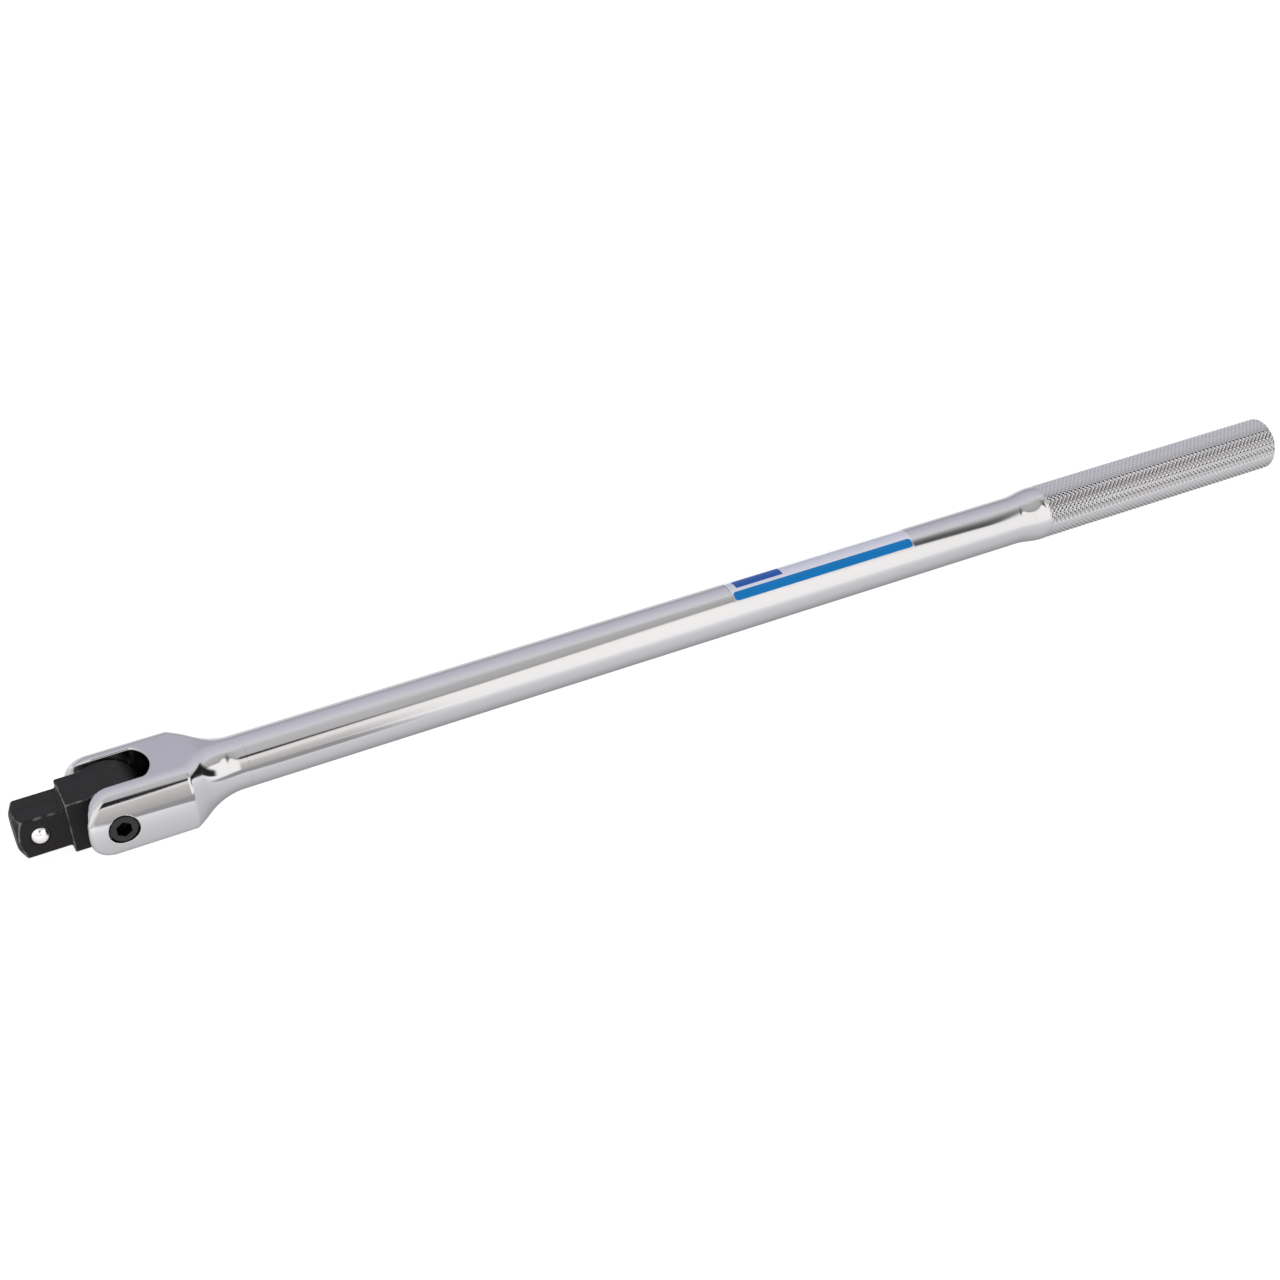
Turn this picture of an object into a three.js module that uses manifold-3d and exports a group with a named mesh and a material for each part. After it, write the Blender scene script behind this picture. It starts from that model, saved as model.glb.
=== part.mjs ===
// Breaker bar, 1/2 inch square drive, about 457 mm long.
// Millimetres. The origin is the centre of the square drive's end face, +X runs along the bar
// to the grip, +Y is the pivot screw's axis and +Z is up, square to the yoke's flats.

import * as THREE from 'three';
import { mergeVertices } from 'three/addons/utils/BufferGeometryUtils.js';
import Module from 'manifold-3d';

const wasm = await Module();
wasm.setup();

// ---------------------------------------------------------------- driving dimensions
const OVERALL_LENGTH = 457;

const SQUARE = 12.7;            // across the flats of the drive square
const SQUARE_LENGTH = 14.6;     // from the end face to the tongue's shoulder
const SQUARE_EDGE_RADIUS = 0.7;
const TIP_FLAT_RADIUS = 5.3;    // the turned lead-in leaves this disc on the end face
const TIP_LEAD_IN = 2.1;

const PIVOT_X = 28.2;
const TONGUE_WIDTH = 15.0;      // along the pivot axis
const TONGUE_HEIGHT = 16.6;     // of the block between the shoulder and the eye
const TONGUE_EDGE_BREAK = 0.5;
const EYE_RADIUS = 9.9;         // the tongue's round rear, about the pivot
const EYE_CHAMFER = 0.9;

const YOKE_BARREL_RADIUS = 16.15;
const YOKE_HEIGHT = 21.4;       // across the flats
const YOKE_CORNER_RADIUS = 5.8;
const YOKE_SHOULDER_X = 49.9;
const EAR_END_X = 18.2;
const EAR_END_RADIUS = 15;      // of the ears' ends, seen from the side
const EAR_TOP_RADIUS = 2.6;     // from the ends into the flats
const EAR_RIM_RADIUS = 1.5;     // from the ends into the barrel
const SLOT_WIDTH = 15.6;
const SLOT_END_X = 41;
const SLOT_END_RADIUS = 11.2;
const SLOT_CORNER_RADIUS = 2;
const SLOT_MOUTH_X = 27.2;       // where the slot's walls begin to flare
const SLOT_MOUTH_RADIUS = 9.2;

const NECK_SLOPE = 0.8;         // radius lost per unit length on the neck's cone
const NECK_FILLET_RADIUS = 20;
const SHAFT_RADIUS = 8.25;
const FLARE_START_X = 344.6;
const FLARE_END_X = 354.8;
const GRIP_RADIUS = 9.3;
const GRIP_EDGE_RADIUS = 1.3;

const SCREW_HEAD_RADIUS = 4.15;
const SCREW_HEAD_LENGTH = 4.6;
const SCREW_SHANK_RADIUS = 3.5;
const SCREW_HEAD_Y = -15.5;     // outer face of the head, just inside the near ear's surface
const SCREW_TIP_Y = 14.9;
const HEX_ACROSS_FLATS = 4;
const HEX_DEPTH = 3.2;
const SCREW_HOLE_GAP = 0.35;    // radial, round the head in its counterbore
const SCREW_SHANK_GAP = 0.15;   // radial, round the shank

const BALL_X = 6.5;
const BALL_RADIUS = 3.2;
const BALL_STAND_OUT = 1.3;
const BALL_MOUTH_RADIUS = 2.85; // the staked lip that keeps the ball in
const BALL_BORE_RADIUS = 3.35;
const BALL_BORE_DEPTH = 10;
const BALL_SEAT_RADIUS = 3.7;   // shallow staked dish round the ball
const BALL_SEAT_DEPTH = 0.25;

const PLUNGER_RADIUS = 3;
const PLUNGER_LENGTH = 10;
const PLUNGER_BORE_RADIUS = 3.15;
const PLUNGER_BORE_END_X = 59;
const TOUCH_GAP = 0.1;          // between faces that bear on each other

const LABEL_START_X = 232.2;
const LABEL_END_X = 301.5;
const LABEL_LOW_ANGLE = 40;     // degrees above the near side's horizontal
const LABEL_HIGH_ANGLE = 112;
const LABEL_THICKNESS = 0.15;
const LABEL_GAP = 0.06;

const ROUND_SEGMENTS = 64;      // facets round the bar
const SMALL_SEGMENTS = 40;      // facets round screws, bores and balls

const NEAR = -1;                // the side the screw's head and the ball are on
const ALONG_X = new THREE.Matrix4().makeRotationZ(-Math.PI / 2);

// ---------------------------------------------------------------- materials
const chrome = () => new THREE.MeshStandardMaterial({ color: 0xd9d9dc, metalness: 1, roughness: 0.12 });
const blackPhosphate = () => new THREE.MeshStandardMaterial({
  color: 0x3c3a38, metalness: 0.6, roughness: 0.5,
});
const blackOxide = () => new THREE.MeshStandardMaterial({ color: 0x262628, metalness: 0.7, roughness: 0.4 });
const brightSteel = () => new THREE.MeshStandardMaterial({ color: 0xe6e6e8, metalness: 1, roughness: 0.1 });
const springSteel = () => new THREE.MeshStandardMaterial({ color: 0x9a9a9e, metalness: 1, roughness: 0.3 });
const printedFilm = () => new THREE.MeshStandardMaterial({ color: 0x1a6fb0, metalness: 0, roughness: 0.25 });

// ---------------------------------------------------------------- solid helpers
function toSolid(geometry) {
  const bare = geometry.index ? geometry.toNonIndexed() : geometry.clone();
  bare.deleteAttribute('normal');
  bare.deleteAttribute('uv');
  const merged = mergeVertices(bare, 1e-5);
  const corners = merged.index.array;
  const kept = [];
  for (let i = 0; i < corners.length; i += 3) {
    const [a, b, c] = corners.slice(i, i + 3);
    if (a !== b && b !== c && c !== a) kept.push(a, b, c);
  }
  return new wasm.Manifold(new wasm.Mesh({
    numProp: 3,
    vertProperties: new Float32Array(merged.attributes.position.array),
    triVerts: new Uint32Array(kept),
  }));
}

function toGeometry(solid) {
  const data = solid.getMesh();
  const geometry = new THREE.BufferGeometry();
  geometry.setAttribute('position', new THREE.BufferAttribute(data.vertProperties, 3));
  geometry.setIndex(new THREE.BufferAttribute(data.triVerts, 1));
  geometry.computeVertexNormals();
  return geometry;
}

// A solid of revolution about X. The profile is a list of [x, radius] from one end to the other.
function turnedAlongX(profile, segments) {
  const closed = [[profile[0][0], 0], ...profile, [profile[profile.length - 1][0], 0]];
  const points = closed.map(([x, radius]) => new THREE.Vector2(radius, x));
  return toSolid(new THREE.LatheGeometry(points, segments).applyMatrix4(ALONG_X));
}

// The same about Y through a point. The profile is a list of [y, radius].
function turnedAlongY(profile, segments, x = 0, z = 0) {
  const closed = [[profile[0][0], 0], ...profile, [profile[profile.length - 1][0], 0]];
  const points = closed.map(([y, radius]) => new THREE.Vector2(radius, y));
  return toSolid(new THREE.LatheGeometry(points, segments).translate(x, 0, z));
}

// An outline in Y and Z, pushed along X.
function prismAlongX(shape, fromX, toX, curveSegments = 16) {
  const geometry = new THREE.ExtrudeGeometry(shape, {
    depth: toX - fromX, bevelEnabled: false, curveSegments,
  });
  const axes = new THREE.Matrix4().makeBasis(
    new THREE.Vector3(0, 1, 0), new THREE.Vector3(0, 0, 1), new THREE.Vector3(1, 0, 0));
  return toSolid(geometry.applyMatrix4(axes).translate(fromX, 0, 0));
}

// An outline in X and Z, pushed along Y, centred on Y = 0.
function prismAlongY(shape, width, curveSegments = 24) {
  const geometry = new THREE.ExtrudeGeometry(shape, { depth: width, bevelEnabled: false, curveSegments });
  return toSolid(geometry.rotateX(Math.PI / 2).translate(0, width / 2, 0));
}

// An outline in X and Y, pushed along Z, centred on Z = 0.
function prismAlongZ(shape, height, curveSegments = 12) {
  const geometry = new THREE.ExtrudeGeometry(shape, { depth: height, bevelEnabled: false, curveSegments });
  return toSolid(geometry.translate(0, 0, -height / 2));
}

function box(fromX, toX, sizeY, sizeZ) {
  return toSolid(new THREE.BoxGeometry(toX - fromX, sizeY, sizeZ).translate((fromX + toX) / 2, 0, 0));
}

function piece(name, solid, material) {
  const mesh = new THREE.Mesh(toGeometry(solid), material);
  mesh.name = name;
  return mesh;
}

// ---------------------------------------------------------------- profile helpers
// Points on an arc about (cx, cy), from one angle to another, in degrees.
function arcPoints(cx, cy, radius, fromDeg, toDeg, steps) {
  return Array.from({ length: steps + 1 }, (_, i) => {
    const angle = THREE.MathUtils.degToRad(fromDeg + (toDeg - fromDeg) * i / steps);
    return [cx + radius * Math.cos(angle), cy + radius * Math.sin(angle)];
  });
}

// A half-cosine step in radius between two places along the bar.
function smoothStep(fromX, fromRadius, toX, toRadius, steps) {
  return Array.from({ length: steps + 1 }, (_, i) => {
    const share = (1 - Math.cos(Math.PI * i / steps)) / 2;
    return [fromX + (toX - fromX) * i / steps, fromRadius + (toRadius - fromRadius) * share];
  });
}

// ---------------------------------------------------------------- handle bar
// The yoke's cross-section: a round barrel with two flats, blended by corner arcs.
function yokeSection() {
  const centreZ = YOKE_HEIGHT / 2 - YOKE_CORNER_RADIUS;
  const centreDistance = YOKE_BARREL_RADIUS - YOKE_CORNER_RADIUS;
  const centreY = Math.sqrt(centreDistance ** 2 - centreZ ** 2);
  const blend = Math.atan2(centreZ, centreY);
  const quarter = Math.PI / 2;
  const shape = new THREE.Shape();
  shape.absarc(0, 0, YOKE_BARREL_RADIUS, -blend, blend);
  shape.absarc(centreY, centreZ, YOKE_CORNER_RADIUS, blend, quarter);
  shape.absarc(-centreY, centreZ, YOKE_CORNER_RADIUS, quarter, Math.PI - blend);
  shape.absarc(0, 0, YOKE_BARREL_RADIUS, Math.PI - blend, Math.PI + blend);
  shape.absarc(-centreY, -centreZ, YOKE_CORNER_RADIUS, Math.PI + blend, 3 * quarter);
  shape.absarc(centreY, -centreZ, YOKE_CORNER_RADIUS, 3 * quarter, 4 * quarter - blend);
  return shape;
}

// The whole bar's outline as [x, radius]: barrel, shoulder, cone, fillet, shaft, flare and grip.
function barProfile() {
  const slopeDeg = THREE.MathUtils.radToDeg(Math.atan(NECK_SLOPE));
  const shoulder = arcPoints(YOKE_SHOULDER_X - 1.2, YOKE_BARREL_RADIUS - 1.5, 1.5, 90, 90 - slopeDeg, 4);
  const [coneX, coneRadius] = shoulder[shoulder.length - 1];
  const meetX = coneX + (coneRadius - SHAFT_RADIUS) / NECK_SLOPE;
  const tangent = NECK_FILLET_RADIUS * Math.tan(THREE.MathUtils.degToRad(slopeDeg / 2));
  const fillet = arcPoints(meetX + tangent, SHAFT_RADIUS + NECK_FILLET_RADIUS, NECK_FILLET_RADIUS,
    270 - slopeDeg, 270, 8);
  return [
    ...arcPoints(EAR_END_X + EAR_RIM_RADIUS, YOKE_BARREL_RADIUS - EAR_RIM_RADIUS, EAR_RIM_RADIUS, 180, 90, 6),
    ...shoulder,
    ...fillet,
    ...smoothStep(FLARE_START_X, SHAFT_RADIUS, FLARE_END_X, GRIP_RADIUS, 10),
    ...arcPoints(
      OVERALL_LENGTH - GRIP_EDGE_RADIUS, GRIP_RADIUS - GRIP_EDGE_RADIUS, GRIP_EDGE_RADIUS, 90, 0, 5),
  ];
}

// The bar seen from the side: the ears' ends are one arc, rounded into the flats.
function sideOutline() {
  const half = YOKE_HEIGHT / 2;
  const endCentreX = EAR_END_X + EAR_END_RADIUS;
  const cornerZ = half - EAR_TOP_RADIUS;
  const cornerX = endCentreX - Math.sqrt((EAR_END_RADIUS - EAR_TOP_RADIUS) ** 2 - cornerZ ** 2);
  const blend = Math.atan2(cornerZ, endCentreX - cornerX);
  const shape = new THREE.Shape();
  shape.moveTo(OVERALL_LENGTH + 1, -half);
  shape.lineTo(OVERALL_LENGTH + 1, half);
  shape.absarc(cornerX, cornerZ, EAR_TOP_RADIUS, Math.PI / 2, Math.PI - blend);
  shape.absarc(endCentreX, 0, EAR_END_RADIUS, Math.PI - blend, Math.PI + blend);
  shape.absarc(cornerX, -cornerZ, EAR_TOP_RADIUS, Math.PI + blend, 3 * Math.PI / 2);
  return shape;
}

// The slot's outline seen from above: a flared mouth, straight walls, two corner arcs and a round end.
function slotOutline() {
  const half = SLOT_WIDTH / 2;
  const endCentreX = SLOT_END_X - SLOT_END_RADIUS;
  const cornerY = half - SLOT_CORNER_RADIUS;
  const cornerX = endCentreX + Math.sqrt((SLOT_END_RADIUS - SLOT_CORNER_RADIUS) ** 2 - cornerY ** 2);
  const blend = Math.atan2(cornerY, cornerX - endCentreX);
  const shape = new THREE.Shape();
  const mouthX = SLOT_MOUTH_X - SLOT_MOUTH_RADIUS;
  const mouthY = half + SLOT_MOUTH_RADIUS;
  shape.moveTo(mouthX, mouthY);
  shape.lineTo(mouthX, -mouthY);
  shape.absarc(SLOT_MOUTH_X, -mouthY, SLOT_MOUTH_RADIUS, Math.PI, Math.PI / 2, true);
  shape.absarc(cornerX, -cornerY, SLOT_CORNER_RADIUS, -Math.PI / 2, -blend);
  shape.absarc(endCentreX, 0, SLOT_END_RADIUS, -blend, blend);
  shape.absarc(cornerX, cornerY, SLOT_CORNER_RADIUS, blend, Math.PI / 2);
  shape.absarc(SLOT_MOUTH_X, mouthY, SLOT_MOUTH_RADIUS, -Math.PI / 2, -Math.PI, true);
  return shape;
}

function makeHandleBar() {
  const counterboreFloor = SCREW_HEAD_Y + SCREW_HEAD_LENGTH + TOUCH_GAP;
  const screwHole = turnedAlongY([
    [-2 * YOKE_BARREL_RADIUS, SCREW_HEAD_RADIUS + SCREW_HOLE_GAP],
    [counterboreFloor, SCREW_HEAD_RADIUS + SCREW_HOLE_GAP],
    [counterboreFloor, SCREW_SHANK_RADIUS + SCREW_SHANK_GAP],
    [2 * YOKE_BARREL_RADIUS, SCREW_SHANK_RADIUS + SCREW_SHANK_GAP],
  ], SMALL_SEGMENTS, PIVOT_X);
  const plungerBore = turnedAlongX([
    [SLOT_END_X - SLOT_END_RADIUS, PLUNGER_BORE_RADIUS],
    [PLUNGER_BORE_END_X, PLUNGER_BORE_RADIUS],
    [PLUNGER_BORE_END_X + PLUNGER_BORE_RADIUS * 0.6, 0.01],
  ], SMALL_SEGMENTS);
  const solid = turnedAlongX(barProfile(), ROUND_SEGMENTS)
    .intersect(prismAlongX(yokeSection(), 0, OVERALL_LENGTH + 1))
    .intersect(prismAlongY(sideOutline(), 3 * YOKE_HEIGHT, 10))
    .subtract(prismAlongZ(slotOutline(), 3 * YOKE_HEIGHT))
    .subtract(screwHole)
    .subtract(plungerBore);
  return piece('handle_bar', solid, chrome());
}

// ---------------------------------------------------------------- drive head
function roundedSquare(size, radius) {
  const half = size / 2;
  const inner = half - radius;
  const quarter = Math.PI / 2;
  const shape = new THREE.Shape();
  shape.absarc(inner, inner, radius, 0, quarter);
  shape.absarc(-inner, inner, radius, quarter, 2 * quarter);
  shape.absarc(-inner, -inner, radius, 2 * quarter, 3 * quarter);
  shape.absarc(inner, -inner, radius, 3 * quarter, 4 * quarter);
  return shape;
}

// The side outline of the tongue's block, from the shoulder to the pivot, with its front edges broken.
function blockOutline() {
  const half = TONGUE_HEIGHT / 2;
  const shape = new THREE.Shape();
  shape.moveTo(SQUARE_LENGTH, -half + TONGUE_EDGE_BREAK);
  shape.lineTo(SQUARE_LENGTH + TONGUE_EDGE_BREAK, -half);
  shape.lineTo(PIVOT_X, -half);
  shape.lineTo(PIVOT_X, half);
  shape.lineTo(SQUARE_LENGTH + TONGUE_EDGE_BREAK, half);
  shape.lineTo(SQUARE_LENGTH, half - TONGUE_EDGE_BREAK);
  return shape;
}

// The eye round the pivot, with both rims chamfered to clear the slot's corners.
function makeEye() {
  const side = TONGUE_WIDTH / 2;
  return turnedAlongY([
    [-side, EYE_RADIUS - EYE_CHAMFER],
    [-side + EYE_CHAMFER, EYE_RADIUS],
    [side - EYE_CHAMFER, EYE_RADIUS],
    [side, EYE_RADIUS - EYE_CHAMFER],
  ], ROUND_SEGMENTS, PIVOT_X);
}

function makeDriveHead() {
  const cornerRadius = SQUARE * Math.SQRT1_2;
  const leadIn = turnedAlongX([
    [0, TIP_FLAT_RADIUS],
    [TIP_LEAD_IN * 0.25, SQUARE / 2 - 0.4],
    [TIP_LEAD_IN, cornerRadius],
    [PIVOT_X - EYE_RADIUS, cornerRadius],
  ], ROUND_SEGMENTS);
  const square = prismAlongX(roundedSquare(SQUARE, SQUARE_EDGE_RADIUS), -1, PIVOT_X - EYE_RADIUS, 6)
    .intersect(leadIn);
  const pivotBore = turnedAlongY([
    [-TONGUE_WIDTH, SCREW_SHANK_RADIUS + SCREW_SHANK_GAP],
    [TONGUE_WIDTH, SCREW_SHANK_RADIUS + SCREW_SHANK_GAP],
  ], SMALL_SEGMENTS, PIVOT_X);
  const face = NEAR * SQUARE / 2;
  const mouthY = face + BALL_SEAT_DEPTH;
  const ballBore = turnedAlongY([
    [face - 1, BALL_SEAT_RADIUS],
    [face, BALL_SEAT_RADIUS],
    [mouthY, BALL_MOUTH_RADIUS + 0.3],
    [mouthY, BALL_MOUTH_RADIUS],
    [mouthY + 0.5, BALL_BORE_RADIUS],
    [face + BALL_BORE_DEPTH, BALL_BORE_RADIUS],
  ], SMALL_SEGMENTS, BALL_X);
  const solid = prismAlongY(blockOutline(), TONGUE_WIDTH)
    .add(makeEye())
    .add(square)
    .subtract(pivotBore)
    .subtract(ballBore);
  return piece('drive_head', solid, blackPhosphate());
}

// ---------------------------------------------------------------- pivot screw
function makePivotScrew() {
  const edge = 0.4;
  const headFloor = SCREW_HEAD_Y + SCREW_HEAD_LENGTH;
  const body = turnedAlongY([
    [SCREW_HEAD_Y, SCREW_HEAD_RADIUS - edge],
    [SCREW_HEAD_Y + edge, SCREW_HEAD_RADIUS],
    [headFloor, SCREW_HEAD_RADIUS],
    [headFloor, SCREW_SHANK_RADIUS],
    [SCREW_TIP_Y - 2 * edge, SCREW_SHANK_RADIUS],
    [SCREW_TIP_Y, SCREW_SHANK_RADIUS - 2 * edge],
  ], SMALL_SEGMENTS, PIVOT_X);
  const cornerRadius = HEX_ACROSS_FLATS / Math.sqrt(3);
  const hex = turnedAlongY([
    [SCREW_HEAD_Y - 1, cornerRadius],
    [SCREW_HEAD_Y + HEX_DEPTH, cornerRadius],
  ], 6, 0).rotate([0, 30, 0]).translate([PIVOT_X, 0, 0]);
  return piece('pivot_screw', body.subtract(hex), blackOxide());
}

// ---------------------------------------------------------------- springs
class Helix extends THREE.Curve {
  // A coil about the local Z axis, from z = 0 to z = length, with its end turns lying flatter.
  constructor(radius, length, turns) {
    super();
    this.radius = radius;
    this.length = length;
    this.turns = turns;
  }

  getPoint(t, target = new THREE.Vector3()) {
    const angle = 2 * Math.PI * this.turns * t;
    const lift = t - Math.sin(2 * Math.PI * t) / (2 * Math.PI) * 0.45;
    return target.set(this.radius * Math.cos(angle), this.radius * Math.sin(angle), this.length * lift);
  }
}

function coil(radius, wireRadius, length, turns) {
  const wire = new THREE.Shape();
  wire.absarc(0, 0, wireRadius, 0, 2 * Math.PI);
  const path = new Helix(radius, length - 2 * wireRadius, turns);
  const geometry = new THREE.ExtrudeGeometry(wire, {
    steps: Math.round(turns * 14), curveSegments: 3, extrudePath: path, bevelEnabled: false,
  });
  return toSolid(geometry.translate(0, 0, wireRadius));
}

// ---------------------------------------------------------------- retaining ball and its spring
const ballY = NEAR * (SQUARE / 2 + BALL_STAND_OUT - BALL_RADIUS);

function makeRetainingBall() {
  const geometry = new THREE.SphereGeometry(BALL_RADIUS, 28, 18).translate(BALL_X, ballY, 0);
  return piece('retaining_ball', toSolid(geometry), brightSteel());
}

function makeRetainingBallSpring() {
  const wireRadius = 0.3;
  const seatDip = BALL_RADIUS - Math.sqrt(BALL_RADIUS ** 2 - 1.9 ** 2);
  const fromY = ballY + BALL_RADIUS - seatDip + TOUCH_GAP + wireRadius;
  const toY = NEAR * SQUARE / 2 + BALL_BORE_DEPTH - TOUCH_GAP;
  const solid = coil(2.1, wireRadius, toY - fromY, 5).rotate([-90, 0, 0]).translate([BALL_X, fromY, 0]);
  return piece('retaining_ball_spring', solid, springSteel());
}

// ---------------------------------------------------------------- friction plunger and its spring
const plungerNoseX = PIVOT_X + EYE_RADIUS + TOUCH_GAP;

function makeFrictionPlunger() {
  const noseRadius = 5;
  const noseHalfAngle = THREE.MathUtils.radToDeg(Math.asin(PLUNGER_RADIUS / noseRadius));
  const nose = arcPoints(plungerNoseX + noseRadius, 0, noseRadius, 179.5, 180 - noseHalfAngle, 6);
  const endX = plungerNoseX + PLUNGER_LENGTH;
  const tail = [[endX - 0.4, PLUNGER_RADIUS], [endX, PLUNGER_RADIUS - 0.4]];
  const solid = turnedAlongX([...nose, ...tail], SMALL_SEGMENTS);
  return piece('friction_plunger', solid, brightSteel());
}

function makeFrictionPlungerSpring() {
  const fromX = plungerNoseX + PLUNGER_LENGTH + TOUCH_GAP;
  const toX = PLUNGER_BORE_END_X - TOUCH_GAP;
  const solid = coil(2.4, 0.4, toX - fromX, 6).rotate([0, 90, 0]).translate([fromX, 0, 0]);
  return piece('friction_plunger_spring', solid, springSteel());
}

// ---------------------------------------------------------------- label
function makeShaftLabel() {
  const inner = SHAFT_RADIUS + LABEL_GAP;
  const outer = inner + LABEL_THICKNESS;
  const low = Math.PI - THREE.MathUtils.degToRad(LABEL_LOW_ANGLE);
  const high = Math.PI - THREE.MathUtils.degToRad(LABEL_HIGH_ANGLE);
  const shape = new THREE.Shape();
  shape.absarc(0, 0, outer, high, low, false);
  shape.absarc(0, 0, inner, low, high, true);
  return piece('shaft_label', prismAlongX(shape, LABEL_START_X, LABEL_END_X, 12), printedFilm());
}

// ---------------------------------------------------------------- assembly
const breakerBar = new THREE.Group();
breakerBar.add(
  makeHandleBar(),
  makeDriveHead(),
  makePivotScrew(),
  makeRetainingBall(),
  makeRetainingBallSpring(),
  makeFrictionPlunger(),
  makeFrictionPlungerSpring(),
  makeShaftLabel(),
);

export default breakerBar;
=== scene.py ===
import math

import bpy
import numpy as np
from mathutils import Matrix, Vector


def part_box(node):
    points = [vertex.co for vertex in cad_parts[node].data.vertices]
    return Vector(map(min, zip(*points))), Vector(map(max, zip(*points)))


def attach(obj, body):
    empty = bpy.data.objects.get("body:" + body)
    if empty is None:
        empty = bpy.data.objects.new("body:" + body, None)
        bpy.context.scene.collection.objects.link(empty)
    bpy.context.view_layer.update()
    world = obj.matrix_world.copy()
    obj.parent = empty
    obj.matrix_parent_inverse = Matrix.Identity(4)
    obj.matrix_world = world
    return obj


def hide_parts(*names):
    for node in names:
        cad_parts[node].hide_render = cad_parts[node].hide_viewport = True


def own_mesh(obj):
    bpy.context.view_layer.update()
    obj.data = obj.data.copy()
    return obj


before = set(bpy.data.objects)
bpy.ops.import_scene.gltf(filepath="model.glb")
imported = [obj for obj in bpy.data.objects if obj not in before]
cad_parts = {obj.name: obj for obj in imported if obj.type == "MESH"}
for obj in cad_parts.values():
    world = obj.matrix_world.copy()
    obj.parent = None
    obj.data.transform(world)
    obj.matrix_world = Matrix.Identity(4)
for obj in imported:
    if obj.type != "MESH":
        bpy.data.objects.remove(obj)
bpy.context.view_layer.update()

MM = 0.001

# ---------------------------------------------------------------- dimensions, in millimetres
TIP_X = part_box("drive_head")[0].x / MM
GRIP_END_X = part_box("handle_bar")[1].x / MM
SQUARE = 12.7
SQUARE_EDGE_RADIUS = 0.7
SQUARE_END_X = 14.6
TIP_FLAT_RADIUS = 5.3
TIP_SLOPE = 1.94
PIVOT_X = 28.2
TONGUE_HALF_WIDTH = 7.5
TONGUE_HALF_HEIGHT = 8.3
EYE_RADIUS = 9.9

BARREL_RADIUS = 16.15
FLAT_Z = 10.7
CORNER_RADIUS = 5.8
SHOULDER_X = 49.9
SHOULDER_LEAD = 1.2  # from the shoulder's edge back to the centre of its rounding
SHOULDER_RADIUS = 1.5
FLAT_BLEND = 2.4
EAR_END_X = 18.2
EAR_END_RADIUS = 15.0
EAR_RIM_RADIUS = 1.5
EAR_TOP_RADIUS = 2.6
NECK_SLOPE = 0.8
NECK_FILLET = 20.0
SHAFT_RADIUS = 8.25
SLOT_HALF_WIDTH = 7.8
SLOT_END_RADIUS = 11.2
SLOT_END_X = 41.0
SLOT_CORNER_RADIUS = 2.0
SLOT_MOUTH_X = 27.2
SLOT_MOUTH_RADIUS = 9.2
SLOT_MOUTH_SHARE = 0.985  # of the mouth's radius, where its curve is cut off
SLOT_EDGE_RADIUS = 0.7
HOLE_EDGE_RADIUS = 0.22
BORE_EDGE_RADIUS = 0.3

COUNTERBORE_RADIUS = 4.5
COUNTERBORE_DEPTH = 4.7
SHANK_HOLE_RADIUS = 3.65
PLUNGER_BORE_RADIUS = 3.15
PLUNGER_BORE_TIP_X = 60.9
DRILL_POINT_SLOPE = 0.6
DRILL_POINT_SCALE = 0.857  # turns the drill point's slope into a distance
YOKE_CELL = 0.36
YOKE_CUT_X = 68.0  # where the yoke's mesh meets the shaft's rings

SHAFT_STEP = 6.0
FLARE_START_X = 344.6
FLARE_END_X = 354.8
GRIP_RADIUS = 9.3
GRIP_EDGE_RADIUS = 1.3
KNURL_START_X = 355.2
KNURL_STARTS = 37
KNURL_PITCH = 1.72
KNURL_DEPTH = 0.22
KNURL_RUN_IN = 1.4
PAINTED_LIGHT_ANGLE = 42.0  # degrees off level where the knurl's painted shade and painted highlight are strongest
PAINTED_LIGHT_SPREAD = 20.0
# The knurl's grooves are darkened a little everywhere, and more in the band, where the darkening is painted
# shade.
GROOVE_DARKENING_EVERYWHERE = 0.22
GROOVE_PAINTED_SHADE_IN_BAND = 0.78

SCREW_HEAD_Y = -15.5
SCREW_TIP_Y = 14.9
SCREW_HEAD_RADIUS = 4.15
SCREW_SHANK_RADIUS = 3.5
HEX_ACROSS_FLATS = 4.0
HEX_DEPTH = 3.2
THREAD_START_Y = 7.0
THREAD_PITCH = 1.0
THREAD_DEPTH = 0.3

BALL_X = 6.5
BALL_Y = -4.45
BALL_RADIUS = 3.2
BALL_GAP = 0.06
BALL_MOUTH_RADIUS = 2.83
BALL_MOUTH_DEPTH = 0.9
BALL_BORE_RADIUS = 3.35
BALL_BORE_START = 0.6
BALL_BORE_DEPTH = 10.0
BALL_DISH_RADIUS = 3.7
BALL_DISH_DEPTH = 0.25
BALL_FACE_RADIUS = 4.6  # round the ball, where edge wear is kept faint
HEAD_CELL = 0.26

BALL_SPRING_RADIUS = 2.1
BALL_SPRING_WIRE = 0.3
BALL_SPRING_TURNS = 5
PLUNGER_RADIUS = 3.0
PLUNGER_NOSE_RADIUS = 5.0
PLUNGER_NOSE_EDGE = 0.2
PLUNGER_END_EDGE = 0.4
PLUNGER_SPRING_RADIUS = 2.4
PLUNGER_SPRING_WIRE = 0.4
PLUNGER_SPRING_TURNS = 6
COIL_STEPS = 28

LABEL_LIFT = 0.06
LABEL_TOP = 0.14
LABEL_LOW_ANGLE = 41
LABEL_HIGH_ANGLE = 111
STRIPE_ANGLES = (44.5, 67)
STRIPE_INSET = 0.5
BLOCK_ANGLES = (76, 104)
BLOCK_START = 2.8
BLOCK_END = 20.3

FLOOR_Z = -FLAT_Z - 0.05
FLOOR_HALF_SIZE = 4000.0


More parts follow.
